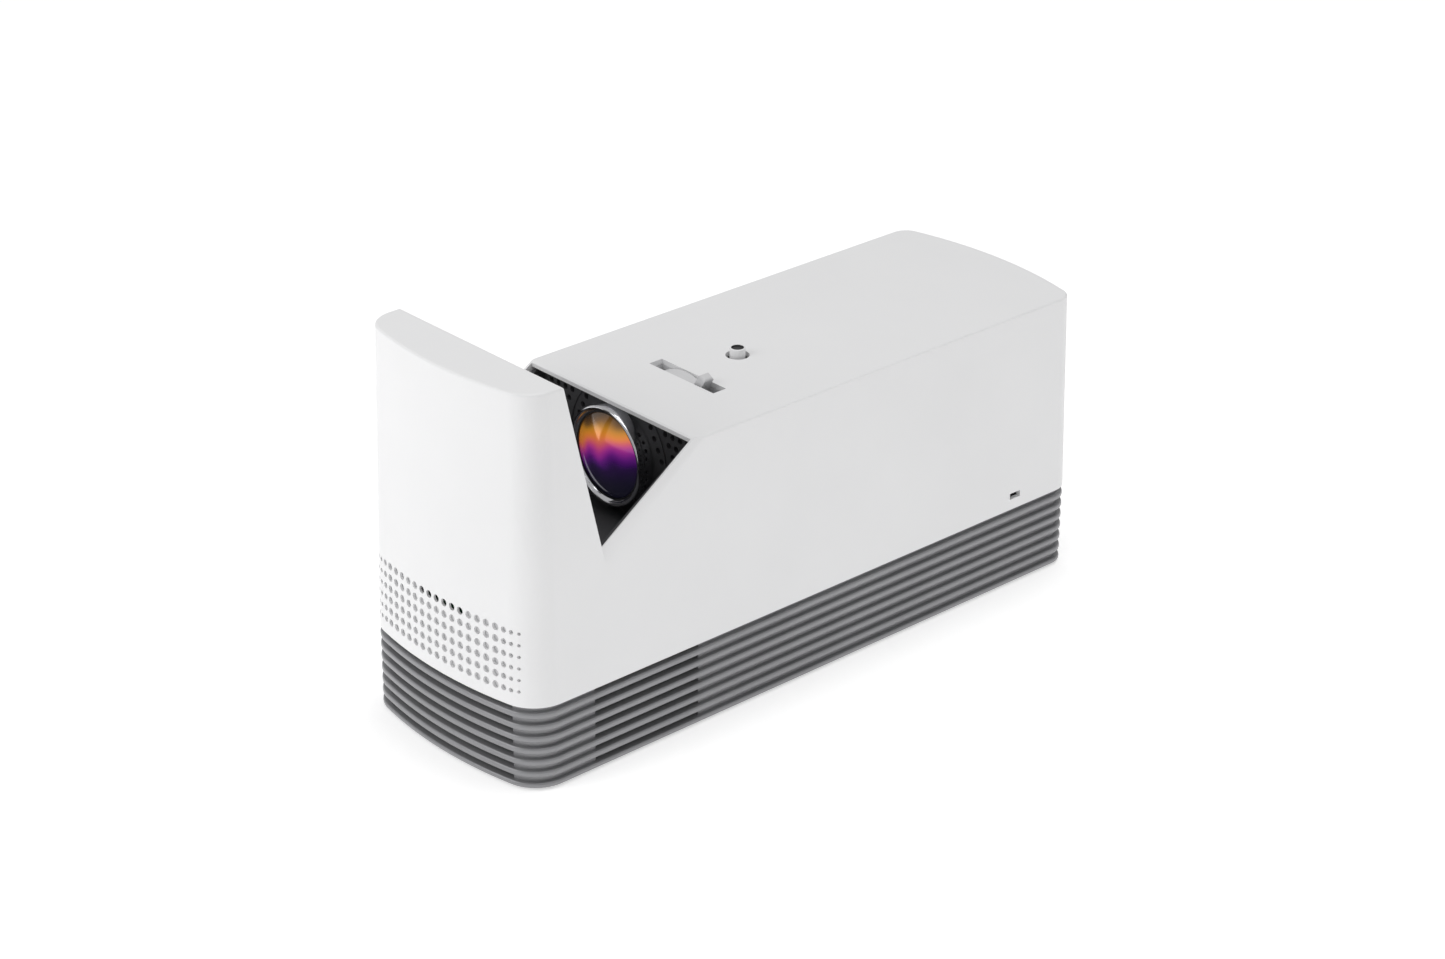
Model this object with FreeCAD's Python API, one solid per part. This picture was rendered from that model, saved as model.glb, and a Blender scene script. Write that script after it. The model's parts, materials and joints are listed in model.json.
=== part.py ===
import FreeCAD
import Part
import math
import os

# Ultra short throw home projector: white drafted upper housing with a raised mirror wall, silver louvred
# base, black lens bay, projection lens with a focus ring, joystick, laser light engine, fans and boards.
# Millimetres, +Z up, origin under the middle of the base, -Y to the mirror wall, +Y to the socket panel.

V = FreeCAD.Vector
os.makedirs("parts", exist_ok=True)

# driving dimensions
LENGTH = 353.0
HALF_W = 59.0
BODY_TOP = 142.5          # top of the long body
WALL_TOP = 189.3          # top of the mirror wall
BAND_TOP = 41.65          # joint between the louvred base and the upper housing
DRAFT = math.radians(1.19)
FRONT_BOW, FRONT_R = 7.8, 18.0
REAR_BOW, REAR_R = 8.3, 11.4
SHELL = 2.5
EDGE_R = 1.2
FOOT_H = 1.2
GAP = 0.3                 # room left between neighbouring parts

WALL_BACK_Y = -147.9      # rear edge of the mirror wall's top
NOTCH_Y, NOTCH_Z = -128.9, 106.4
BODY_FRONT_Y = -74.5      # front edge of the long body's top
BEVEL = 4.5

LENS_X, LENS_Z = 0.0, 115.0
BARREL_R, BORE_R = 22.0, 19.0
FRONT_GLASS_R = 20.3
RUN = 0.06                # radial clearance of parts that turn on each other
FOCUS_Y, FOCUS_L, FOCUS_R = -36.4, 6.6, 27.0
SLOT_X0, SLOT_X1, SLOT_Y0, SLOT_Y1 = -17.0, 26.6, -37.0, -29.3
VENT_LOW, VENT_HIGH, VENT_SKIN = 46.0, 80.6, 1.2

RIB_PITCH, RIB_GAP_H, GROOVE, BACKING = 5.85, 2.9, 2.4, 1.8
RIB_GAPS = 7

BAY_FLOOR_Z = 86.0
BULKHEAD_Y = -70.5
JOY_X, JOY_Y, JOY_PIVOT_Z = 2.5, -0.4, 133.2
BASE_TOP = FOOT_H + 2.4


def box(x0, x1, y0, y1, z0, z1):
    return Part.makeBox(x1 - x0, y1 - y0, z1 - z0, V(x0, y0, z0))


def rod(x, y, z, r, length, axis=(0, 0, 1)):
    return Part.makeCylinder(r, length, V(x, y, z), V(*axis))


def tube(x, y, z, r_out, r_in, length, axis=(0, 0, 1)):
    return rod(x, y, z, r_out, length, axis).cut(rod(x, y, z, r_in, length, axis))


def yz_prism(points, x0, x1):
    wire = Part.makePolygon([V(x0, y, z) for y, z in points + points[:1]])
    return Part.Face(wire).extrude(V(x1 - x0, 0, 0))


def save(name, *solids):
    shape = solids[0] if len(solids) == 1 else Part.makeCompound(list(solids))
    shape.exportStep("parts/" + name + ".step")
    print(name, len(shape.Solids), "solid(s)", round(shape.Volume / 1000, 2), "cm3", shape.isValid())


# ---- outline of the case ----

def end_curve(half, apex, bow, corner, way):
    """Points of a bowed end: way is 1 for the rear end and -1 for the front end."""
    big = (half * half + bow * bow) / (2 * bow)
    cx = half - corner
    depth = big - math.sqrt((big - corner) ** 2 - cx * cx)
    turn = math.atan2(cx, big - depth)
    centre_y = apex - way * depth
    mid = (turn + math.pi / 2) / 2
    tangent = (big * math.sin(turn), apex - way * (big - big * math.cos(turn)))
    knee = (cx + corner * math.sin(mid), centre_y + way * corner * math.cos(mid))
    return tangent, knee, (half, centre_y)


def plan_wire(z, inset):
    """The plan outline at height z: straight sides, bowed ends and round corners, drawn in by inset."""
    half = HALF_W - inset
    apex = LENGTH / 2 - inset
    front = end_curve(half, -apex, FRONT_BOW, max(FRONT_R - inset, 1), -1)
    rear = end_curve(half, apex, REAR_BOW, max(REAR_R - inset, 1), 1)

    def right(xy):
        return V(xy[0], xy[1], z)

    def left(xy):
        return V(-xy[0], xy[1], z)

    return Part.Wire([
        Part.Arc(left(front[0]), V(0, -apex, z), right(front[0])).toShape(),
        Part.Arc(right(front[0]), right(front[1]), right(front[2])).toShape(),
        Part.LineSegment(right(front[2]), right(rear[2])).toShape(),
        Part.Arc(right(rear[2]), right(rear[1]), right(rear[0])).toShape(),
        Part.Arc(right(rear[0]), V(0, apex, z), left(rear[0])).toShape(),
        Part.Arc(left(rear[0]), left(rear[1]), left(rear[2])).toShape(),
        Part.LineSegment(left(rear[2]), left(front[2])).toShape(),
        Part.Arc(left(front[2]), left(front[1]), left(front[0])).toShape(),
    ])


def draft_inset(z):
    return max(0.0, z - BAND_TOP) * math.tan(DRAFT)


def plan_solid(z0, z1, inset=0.0, drafted=False):
    lower = inset + (draft_inset(z0) if drafted else 0)
    upper = inset + (draft_inset(z1) if drafted else 0)
    return Part.makeLoft([plan_wire(z0, lower), plan_wire(z1, upper)], True, True)


# ---- casings ----

def vent_holes():
    """Dot vent of the front: equal rows, and columns whose pitch and size fall off to the sides."""
    rows, row_pitch, first_z, deep = 6, 5.64, 49.1, 16
    full, full_pitch = 1.8, 5.3
    columns = [(k * full_pitch, full) for k in range(8)]
    last = columns[-1][0]
    columns += [(last + 4.6, 1.45), (last + 8.6, 1.1), (last + 12.2, 0.8)]
    holes = []
    for row in range(rows):
        z = first_z + row * row_pitch
        for x, radius in columns:
            for side in ((-1, 1) if x else (1,)):
                holes.append(rod(side * x, -LENGTH / 2 - 2, z, radius, deep, (0, 1, 0)))
    return Part.makeCompound(holes)


def notch_bevel(side):
    """Cutter that bevels the sloping edge of the side notch, widest at the outer face."""
    lean = (NOTCH_Y - WALL_BACK_Y) / (WALL_TOP - NOTCH_Z)
    slope = (BODY_TOP - NOTCH_Z) / (BODY_FRONT_Y - NOTCH_Y)
    past = 6.0
    apex_up = (NOTCH_Y - 20 * lean, NOTCH_Z + 20)
    far = (BODY_FRONT_Y + past, BODY_TOP + past * slope)
    drop = 1.7 * BEVEL * math.hypot(1, slope)
    inner = [(NOTCH_Y, NOTCH_Z), apex_up, far]
    outer = [(NOTCH_Y + drop * lean, NOTCH_Z - drop), apex_up, (far[0], far[1] - drop)]
    wires = []
    for x, points in ((HALF_W - 3.4, inner), (HALF_W - 0.6, outer)):
        wires.append(Part.makePolygon([V(side * x, y, z) for y, z in points + points[:1]]))
    return Part.makeLoft(wires, True, True)


def upper_housing():
    far, high = LENGTH, 250.0
    profile = [(-far, BAND_TOP), (-far, WALL_TOP), (WALL_BACK_Y, WALL_TOP), (NOTCH_Y, NOTCH_Z),
               (BODY_FRONT_Y, BODY_TOP), (far, BODY_TOP), (far, BAND_TOP)]
    outer = plan_solid(BAND_TOP, WALL_TOP, 0, True).common(yz_prism(profile, -80, 80))
    flat = [e for e in outer.Edges if e.BoundBox.ZLength < 0.01]
    rims = [e for e in flat if min(abs(e.BoundBox.ZMin - BODY_TOP), abs(e.BoundBox.ZMin - WALL_TOP)) < 0.01]
    outer = outer.makeFillet(EDGE_R, rims)
    behind = BODY_FRONT_Y - 1
    room = [(-far, BAND_TOP - 1), (-far, WALL_TOP - SHELL), (WALL_BACK_Y + 8, WALL_TOP - SHELL),
            (WALL_BACK_Y + 8, high), (behind, high), (behind, BODY_TOP - SHELL),
            (far, BODY_TOP - SHELL), (far, BAND_TOP - 1)]
    body = outer.cut(plan_solid(BAND_TOP - 0.001, WALL_TOP, SHELL, True).common(yz_prism(room, -80, 80)))
    cutters = [
        notch_bevel(1),
        notch_bevel(-1),
        rod(JOY_X, JOY_Y, BODY_TOP - 4, 5.6, 8),
        box(SLOT_X0, SLOT_X1, SLOT_Y0, SLOT_Y1, BODY_TOP - 5, BODY_TOP + 5),
        box(HALF_W - 6, HALF_W + 3, 126.6, 133.6, 47.0, 50.2),
        box(-42, 42, LENGTH / 2 - 16, LENGTH / 2 + 3, 62, 112),
        plan_solid(VENT_LOW, VENT_HIGH, VENT_SKIN, True).common(box(-52, 52, -180, -160, 40, 90)),
        vent_holes(),
    ]
    for cutter in cutters:
        body = body.cut(cutter)
    return max(body.Solids, key=lambda solid: solid.Volume)


def lower_housing():
    body = plan_solid(FOOT_H, BAND_TOP)
    body = body.makeChamfer(0.8, [e for e in body.Edges if abs(e.BoundBox.ZMax - FOOT_H) < 0.01])
    body = body.cut(plan_solid(BASE_TOP, BAND_TOP + 1, GROOVE + BACKING))
    windows = [box(-46, 46, -190, -160, 0, 60), box(-46, 46, 160, 190, 0, 60),
               box(50, 70, -133.5, -72.7, 0, 60), box(-70, -50, -133.5, -72.7, 0, 60)]
    for k in range(RIB_GAPS):
        top = BAND_TOP - k * RIB_PITCH
        slab = plan_solid(top - RIB_GAP_H, top, -1)
        body = body.cut(slab.cut(plan_solid(top - RIB_GAP_H, top, GROOVE)))
        for window in windows:
            body = body.cut(slab.common(window))
    return body


def louvre_filters():
    """Black dust filters behind the open stretches of the louvres: front, rear and both sides."""
    near, far = GROOVE + BACKING + 0.1, GROOVE + BACKING + 1.1
    band = plan_solid(BASE_TOP + 0.1, BAND_TOP - 0.3, near).cut(plan_solid(BASE_TOP, BAND_TOP, far))
    stretches = [box(-48, 48, -190, -165, 0, 60), box(-48, 48, 165, 190, 0, 60),
                 box(50, 70, -135, -71, 0, 60), box(-70, -50, -135, -71, 0, 60)]
    return [band.common(stretch) for stretch in stretches]


def bay_liner():
    """Black floor and rising side cheeks of the lens bay."""
    half = HALF_W - SHELL - draft_inset(WALL_TOP) - GAP
    thick, start = 1.5, WALL_BACK_Y - 2
    floor = box(-half + thick, half - thick, start, BULKHEAD_Y, BAY_FLOOR_Z - 2, BAY_FLOOR_Z)
    rise = [(start, BAY_FLOOR_Z), (start, WALL_TOP - 7), (WALL_BACK_Y + 3, WALL_TOP - 7),
            (NOTCH_Y + 1, NOTCH_Z - 1.5), (BODY_FRONT_Y, BODY_TOP - 3.2), (BULKHEAD_Y, BODY_TOP - 3.2),
            (BULKHEAD_Y, BAY_FLOOR_Z - 2), (start, BAY_FLOOR_Z - 2)]
    cheeks = [yz_prism(rise, half - thick, half), yz_prism(rise, -half, -half + thick)]
    return floor.fuse(cheeks[0]).fuse(cheeks[1]).removeSplitter()


def lens_bulkhead():
    """Black wall behind the lens, with a fine round bead and a field of sound holes on both sides."""
    half = HALF_W - SHELL - draft_inset(BODY_TOP) - GAP
    front, thick, bead, hole_pitch = BULKHEAD_Y + 0.1, 2.5, 0.5, 4.9
    top = BODY_TOP - SHELL - 0.2
    plate = box(-half, half, front, front + thick, BAY_FLOOR_Z - 2, top)
    ring = tube(LENS_X, front - bead, LENS_Z, 33.0, 32.4, bead + 0.5, (0, 1, 0))
    plate = plate.fuse(ring.common(box(-half, half, front - 2, front + 2, BAY_FLOOR_Z + 0.2, top - 0.4)))
    plate = plate.cut(rod(LENS_X, front - 5, LENS_Z, BARREL_R + 0.1, 12, (0, 1, 0)))
    holes = []
    for row in range(10):
        z = BAY_FLOOR_Z + 4.5 + row * hole_pitch
        for column in range(-12, 13):
            x = (column + 0.5 * (row % 2)) * hole_pitch
            off = math.hypot(x - LENS_X, z - LENS_Z)
            if off > 27.4 and abs(off - 32.7) > 2.0 and abs(x) < half - 3 and z < top - 2:
                holes.append(rod(x, front - 1, z, 1.45, 6, (0, 1, 0)))
    return plate.cut(Part.makeCompound(holes))


# ---- mirror ----

MIRROR_LEAN = math.degrees(math.atan2(NOTCH_Y - WALL_BACK_Y, WALL_TOP - NOTCH_Z))
MIRROR_AT = V(0, -144.5, 146.0)
MIRROR_W, MIRROR_H, MIRROR_T, MIRROR_BOWL_R = 90.0, 68.0, 8.0, 170.0


def on_wall(shape):
    """Turns a shape built at the origin, facing +Y, onto the sloping back of the mirror wall."""
    shape.rotate(V(0, 0, 0), V(1, 0, 0), MIRROR_LEAN)
    shape.translate(MIRROR_AT)
    return shape


def mirror():
    blank = box(-MIRROR_W / 2, MIRROR_W / 2, -MIRROR_T, 0, -MIRROR_H / 2, MIRROR_H / 2)
    blank = blank.makeFillet(3.0, [e for e in blank.Edges if abs(e.BoundBox.YLength - MIRROR_T) < 0.01])
    return on_wall(blank.cut(Part.makeSphere(MIRROR_BOWL_R, V(0, MIRROR_BOWL_R - 5.4, -14))))


def mirror_frame():
    half = 49.5
    plate = box(-half, half, -1.8, 0.8, -48, 39.5)
    gap_w, gap_h = MIRROR_W / 2 + 0.1, MIRROR_H / 2 + 0.1
    return on_wall(plate.cut(box(-gap_w, gap_w, -5, 5, -gap_h, gap_h)))


def mirror_bracket():
    """Three-armed steel spider that holds the mirror from behind, and its three screws."""
    spider = box(-38, 38, -10.2, -8.2, -5, 5).fuse(box(-5, 5, -10.2, -8.2, -28, 5))
    seats = [(-33, 0), (33, 0), (0, -23)]
    screws = [rod(x, -13.2, z, 2.6, 2.9, (0, 1, 0)) for x, z in seats]
    save("mirror_bracket", on_wall(spider))
    save("mirror_screws", *[on_wall(screw) for screw in screws])


# ---- lens ----

def lens_disc(y_front, r, thick, bulge_front, bulge_back):
    """Element turned from a half profile: spherical front, straight rim, spherical back."""
    y_back = y_front + thick

    def sag(bulge, at):
        return bulge - math.sqrt(bulge * bulge - at * at)

    def point(at, y):
        return V(LENS_X + at, y, LENS_Z)

    front_rim, back_rim = point(r, y_front + sag(bulge_front, r)), point(r, y_back - sag(bulge_back, r))
    edges = [
        Part.Arc(point(0, y_front), point(r / 2, y_front + sag(bulge_front, r / 2)), front_rim).toShape(),
        Part.LineSegment(front_rim, back_rim).toShape(),
        Part.Arc(back_rim, point(r / 2, y_back - sag(bulge_back, r / 2)), point(0, y_back)).toShape(),
        Part.LineSegment(point(0, y_back), point(0, y_front)).toShape(),
    ]
    return Part.Face(Part.Wire(edges)).revolve(V(LENS_X, 0, LENS_Z), V(0, 1, 0), 360)


def lens_parts():
    start, end = BULKHEAD_Y - 6.6, -14.0
    barrel = tube(LENS_X, start, LENS_Z, BARREL_R, BORE_R, end - start, (0, 1, 0))
    barrel = barrel.cut(rod(LENS_X, start, LENS_Z, FRONT_GLASS_R + 0.05, 7.0, (0, 1, 0)))
    ring_r, lip = 23.8, 1.8
    ring = tube(LENS_X, start - lip, LENS_Z, ring_r, FRONT_GLASS_R + 0.25, lip, (0, 1, 0))
    ring = ring.fuse(tube(LENS_X, start, LENS_Z, ring_r, BARREL_R + 0.05, 6.4, (0, 1, 0)))
    mouth = [e for e in ring.Edges if abs(e.BoundBox.YMin - start + lip) < 0.01 and e.BoundBox.YLength < 0.01
             and e.BoundBox.XLength < 2 * ring_r - 2]
    ring = ring.makeChamfer(1.5, mouth)
    save("lens_barrel", barrel)
    save("lens_front_ring", ring)
    save("front_element", lens_disc(BULKHEAD_Y - 10.8, FRONT_GLASS_R, 11.0, 45.0, 200.0))
    names = ("second_element", "third_element", "rear_element")
    retainers = []
    for name, y in zip(names, (-60.5, -47.0, -26.0)):
        save(name, lens_disc(y, BORE_R - 0.05, 9.0, 60.0, 60.0))
        retainers.append(tube(LENS_X, y - 1.8, LENS_Z, BORE_R - 0.05, 16.6, 4.0, (0, 1, 0)))
    save("lens_retainers", *retainers)
    flange = box(LENS_X - 26, LENS_X + 26, -27.5, -24.0, LENS_Z - 25.5, LENS_Z + 25)
    save("lens_flange", flange.cut(rod(LENS_X, -30, LENS_Z, BARREL_R + 0.02, 10, (0, 1, 0))))


FOCUS_REST = math.degrees(math.atan2(16.5, BODY_TOP + 2 - LENS_Z))


def focus_ring():
    """Ring that turns on the barrel, with a finger tab in the top slot."""
    ring = tube(LENS_X, FOCUS_Y, LENS_Z, FOCUS_R, BARREL_R + RUN, FOCUS_L, (0, 1, 0))
    tab_top = LENS_Z + 36.2
    tab = box(LENS_X - 2.2, LENS_X + 2.2, FOCUS_Y + 0.4, FOCUS_Y + FOCUS_L - 0.4, LENS_Z + 26, tab_top)
    ring = ring.fuse(tab.makeFillet(1.2, [e for e in tab.Edges if e.BoundBox.ZMin > tab_top - 0.1]))
    ring.rotate(V(LENS_X, 0, LENS_Z), V(0, 1, 0), FOCUS_REST)
    return ring


def focus_slot_collar():
    """Light collar under the top that frames the focus slot."""
    high, deep, wall = BODY_TOP - SHELL - 0.1, 2.6, 1.0
    block = box(SLOT_X0 - wall, SLOT_X1 + wall, SLOT_Y0 - wall, SLOT_Y1 + wall, high - deep, high)
    return block.cut(box(SLOT_X0, SLOT_X1, SLOT_Y0, SLOT_Y1, high - deep - 1, high + 1))


# ---- joystick ----

def joystick_parts():
    x, y, z = JOY_X, JOY_Y, JOY_PIVOT_Z
    base = box(x - 9.5, x + 9.5, y - 8.5, y + 8.5, z - 6.7, z - 3.6)
    for side in (-1, 1):
        ear = box(x - 0.9, x + 0.9, y - 2.2, y + 2.2, z - 3.7, z + 2.0)
        base = base.fuse(ear.translated(V(side * 8.5, 0, 0)))
    base = base.cut(rod(x - 12, y, z, 0.80 + RUN, 24, (1, 0, 0)))
    base = base.cut(rod(x, y, z - 5.5, 3.4, 4))
    ring = tube(x, y, z - 1.2, 7.0, 5.0, 2.4)
    for side in (-1, 1):
        ring = ring.fuse(rod(x + side * 6.0, y, z, 0.80, 3.2, (side, 0, 0)))
    ring = ring.cut(rod(x, y - 9, z, 0.80 + RUN, 18, (0, 1, 0)))
    stem = rod(x, y, z - 3.2, 1.9, 9.4).fuse(rod(x, y - 6.6, z, 0.80, 13.2, (0, 1, 0)))
    cap = rod(x, y, z + 4.2, 3.7, 8.9)
    cap = cap.makeFillet(0.9, [e for e in cap.Edges if e.BoundBox.ZMin > z + 13 and e.BoundBox.XLength > 1])
    cap = cap.cut(rod(x, y, z + 4.1, 1.9 + RUN, 2.9))
    save("joystick_base", base)
    save("joystick_gimbal", ring)
    save("joystick_stem", stem)
    save("joystick_cap", cap)
    save("joystick_board", box(x - 22, x + 22, y - 9, y + 12, z - 8.4, z - 6.8))
    corners = [(sx * 19, sy) for sx in (-1, 1) for sy in (-6, 9)]
    save("joystick_posts", *[tube(x + cx, y + cy, z - 6.7, 2.4, 1.1, 13.3) for cx, cy in corners])


# ---- cooling ----

def fan(name, y, z, size, depth):
    """Square axial fan that blows along Y: frame with hub plate, arms and shaft, and a bladed rotor."""
    half, bore, shaft = size / 2, size / 2 - 1.6, 1.5
    frame = box(-half, half, y, y + depth, z - half, z + half).cut(rod(0, y - 1, z, bore, depth + 2, (0, 1, 0)))
    frame = frame.fuse(rod(0, y + depth - 2, z, 9, 2, (0, 1, 0)))
    for turn in (45, 165, 285):
        arm = box(8, bore + 1.0, y + depth - 2, y + depth, z - 1.2, z + 1.2)
        arm.rotate(V(0, 0, z), V(0, 1, 0), turn)
        frame = frame.fuse(arm)
    for sx in (-1, 1):
        for sz in (-1, 1):
            at = half - 3.6
            frame = frame.cut(rod(sx * at, y - 1, z + sz * at, 1.6, depth + 2, (0, 1, 0)))
    frame = frame.fuse(rod(0, y + depth - 8, z, shaft, 7, (0, 1, 0)))
    rotor = rod(0, y + 1.0, z, 9.5, depth - 4.0, (0, 1, 0))
    rotor = rotor.cut(rod(0, y + depth - 9, z, shaft + RUN, 10, (0, 1, 0)))
    reach = (depth - 6) * 0.55
    for number in range(7):
        blade = box(9.0, bore - 0.8, -0.5, 0.5, -reach, reach)
        blade.rotate(V(0, 0, 0), V(1, 0, 0), 55)
        blade.translate(V(0, y + depth / 2 - 1.0, z))
        blade.rotate(V(0, 0, z), V(0, 1, 0), number * 360 / 7)
        rotor = rotor.fuse(blade)
    rotor = rotor.common(rod(0, y, z, bore - 0.6, depth, (0, 1, 0)))
    save(name + "_frame", frame)
    save(name + "_rotor", rotor)


def laser_heatsink():
    """Finned block behind the laser module."""
    block = box(-24, 40, 101, 106, 70, 128)
    for k in range(16):
        x = -23.5 + k * 4.15
        block = block.fuse(box(x, x + 1.2, 105.5, 133, 70, 128))
    return block


# ---- light engine and boards ----

def light_engine():
    hull = box(-26, 36, -23.8, 84, 78, 122.5).cut(box(-23, 33, -20.8, 81, 81, 119.5))
    hull = hull.cut(rod(LENS_X, -30, LENS_Z, BARREL_R + 0.1, 20, (0, 1, 0)))
    hull = hull.cut(box(-60, 60, -23.9, -13.5, LENS_Z, 130))
    wheel_z = 100.0
    hull = hull.cut(rod(LENS_X, 75, wheel_z, 7.5, 12, (0, 1, 0)))
    save("light_engine_housing", hull)
    save("laser_module", box(-18, 28, 84.2, 100.8, 82, 118))
    save("laser_heatsink", laser_heatsink())
    wheel = tube(LENS_X, 52, wheel_z, 17.5, 5.0, 1.2, (0, 1, 0))
    save("phosphor_wheel", wheel.fuse(tube(LENS_X, 51, wheel_z, 7.0, 1.5 + RUN, 4.0, (0, 1, 0))))
    motor = rod(LENS_X, 57, wheel_z, 9, 9, (0, 1, 0)).fuse(rod(LENS_X, 50, wheel_z, 1.5, 8, (0, 1, 0)))
    save("wheel_motor", motor.fuse(box(LENS_X - 12, LENS_X + 12, 65.9, 68.5, 81.1, 112)))
    save("prism", yz_prism([(-8, 86), (18, 86), (18, 112)], -9, 17))
    save("relay_lenses", rod(LENS_X, 28, wheel_z, 13, 5, (0, 1, 0)), rod(LENS_X, 40, wheel_z, 11, 4, (0, 1, 0)))
    save("micromirror_board", box(-22, 32, 20.5, 22.1, 82, 96).fuse(box(-5, 14, 18.6, 20.6, 83, 95)))


def boards():
    board = box(-50.5, -48.9, -60, 150, 50, 132)
    for y, z, wide, tall in ((-30, 70, 26, 26), (20, 80, 18, 18), (60, 62, 30, 14), (100, 90, 22, 30)):
        board = board.fuse(box(-49.0, -46.2, y, y + wide, z, z + tall))
    save("main_board", board)
    under, thick = 8.4, 1.6
    top = under + thick - 0.1
    power = box(-44, 44, -62, 104, under, under + thick)
    blocks = ((-32, -50, 30, 34, 22), (8, -46, 24, 24, 16), (-30, 10, 22, 40, 26), (6, 8, 28, 46, 12))
    for x, y, wide, long, tall in blocks:
        power = power.fuse(box(x, x + wide, y, y + long, top, top + tall))
    for k in range(4):
        power = power.fuse(rod(-28 + k * 18, 84, top, 6, 18))
    save("power_board", power)
    posts = [(sx * 38, y) for sx in (-1, 1) for y in (-56, 98)]
    save("board_standoffs", *[rod(x, y, BASE_TOP, 3, under - BASE_TOP) for x, y in posts])


# ---- speakers, sockets and small parts ----

def speaker(side):
    """Drum-shaped basket with its magnet, and the cone in front of it, facing out through the louvres."""
    wall, y, z = side * 53.4, -103.0, 24.0
    axis = (-side, 0, 0)
    basket = tube(wall, y, z, 17.0, 15.0, 9.0, axis).fuse(rod(wall - side * 8.9, y, z, 17.0, 2.0, axis))
    basket = basket.fuse(rod(wall - side * 10.8, y, z, 11.5, 6.0, axis))
    bowl = Part.makeCone(14.7, 5.0, 6.0, V(wall - side * 0.6, y, z), V(*axis))
    hollow = Part.makeCone(13.9, 3.8, 5.6, V(wall - side * 0.5, y, z), V(*axis))
    return basket, bowl.cut(hollow)


SOCKET_Y = LENGTH / 2 - 14.5
SOCKETS = {
    # name: (x, z of each, width, height)
    "dc_jack": ([(-30, 72)], 11, 11),
    "hdmi_sockets": ([(-6, 98), (-6, 84)], 15.2, 6.0),
    "usb_sockets": ([(-30, 98), (-30, 86)], 13.2, 6.2),
    "lan_socket": ([(28, 96)], 15.8, 13.2),
    "optical_socket": ([(28, 74)], 9.6, 9.6),
}


def jack(name, x, z, wide, tall):
    """Metal or plastic shell of one socket, with its pin or tongue."""
    y, skin = SOCKET_Y, 0.9
    shell = box(x - wide / 2 + 0.1, x + wide / 2 - 0.1, y - 11, y + 2.4, z - tall / 2 + 0.1, z + tall / 2 - 0.1)
    if name == "dc_jack":
        return shell.cut(rod(x, y - 7, z, 3.6, 12, (0, 1, 0))).fuse(rod(x, y - 8, z, 1.0, 9, (0, 1, 0)))
    mouth = box(x - wide / 2 + skin, x + wide / 2 - skin, y - 7.5, y + 4, z - tall / 2 + skin, z + tall / 2 - skin)
    shell = shell.cut(mouth)
    if name == "lan_socket":
        return shell
    tongue = min(1.6, tall / 4)
    return shell.fuse(box(x - wide / 2 + 2.6, x + wide / 2 - 2.6, y - 8, y + 0.5, z - tongue / 2, z + tongue / 2))


def sockets():
    face = 1.8
    panel = box(-44.5, 44.5, SOCKET_Y, SOCKET_Y + face, 59.5, 114.5)
    for name, (places, wide, tall) in SOCKETS.items():
        for x, z in places:
            panel = panel.cut(box(x - wide / 2, x + wide / 2, SOCKET_Y - 1, SOCKET_Y + face + 1,
                                  z - tall / 2, z + tall / 2))
        save(name, *[jack(name, x, z, wide, tall) for x, z in places])
    save("socket_panel", panel)
    save("socket_board", box(-42, 42, SOCKET_Y - 12.8, SOCKET_Y - 11.2, 60, 113))


def small_parts():
    corners = [(sx, sy) for sx in (-1, 1) for sy in (-1, 1)]
    save("rubber_feet", *[rod(sx * 42, sy * 150, 0, 6.0, FOOT_H) for sx, sy in corners])
    save("case_screws", *[rod(sx * 38, sy * 135, BASE_TOP, 3.2, 2.4) for sx, sy in corners])
    first, last, low, high = -13.0, 18.3, 75.0, 79.6
    near = VENT_SKIN + 0.1
    mesh = plan_solid(VENT_LOW, VENT_HIGH, near, True).cut(plan_solid(VENT_LOW - 1, VENT_HIGH + 1, near + 1, True))
    mesh = mesh.common(box(-51.7, 51.7, -180, -160, VENT_LOW + 0.2, VENT_HIGH - 0.2))
    mesh = mesh.cut(box(first, last, -180, -160, low, high))
    save("front_vent_mesh", mesh)
    save("sensor_window", box(first - 1, last + 1, -170.6, -169.0, low - 1, high + 1))
    save("sensor_board", box(first - 4, last + 4, -167.4, -165.8, 62, 82))
    plate = box(54.4, 55.4, 121, 139, 43.5, 54).cut(box(50, 60, 126.6, 133.6, 47.0, 50.2))
    save("lock_slot_plate", plate)


def main():
    save("upper_housing", upper_housing())
    save("lower_housing", lower_housing())
    save("louvre_filters", *louvre_filters())
    save("bay_liner", bay_liner())
    save("lens_bulkhead", lens_bulkhead())
    save("mirror", mirror())
    save("mirror_frame", mirror_frame())
    mirror_bracket()
    lens_parts()
    save("focus_ring", focus_ring())
    save("focus_slot_collar", focus_slot_collar())
    joystick_parts()
    fan("intake_fan", -152, 44, 60, 15)
    fan("exhaust_fan", 134, 33, 56, 15)
    light_engine()
    boards()
    baskets, cones = zip(*[speaker(side) for side in (-1, 1)])
    save("speaker_baskets", *baskets)
    save("speaker_cones", *cones)
    sockets()
    small_parts()
    print("focus tab at rest leans", round(FOCUS_REST, 2), "deg; mirror leans", round(MIRROR_LEAN, 2), "deg")


main()
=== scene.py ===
import json
import math
import bmesh
import bpy
import numpy as np
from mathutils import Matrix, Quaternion, Vector


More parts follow.
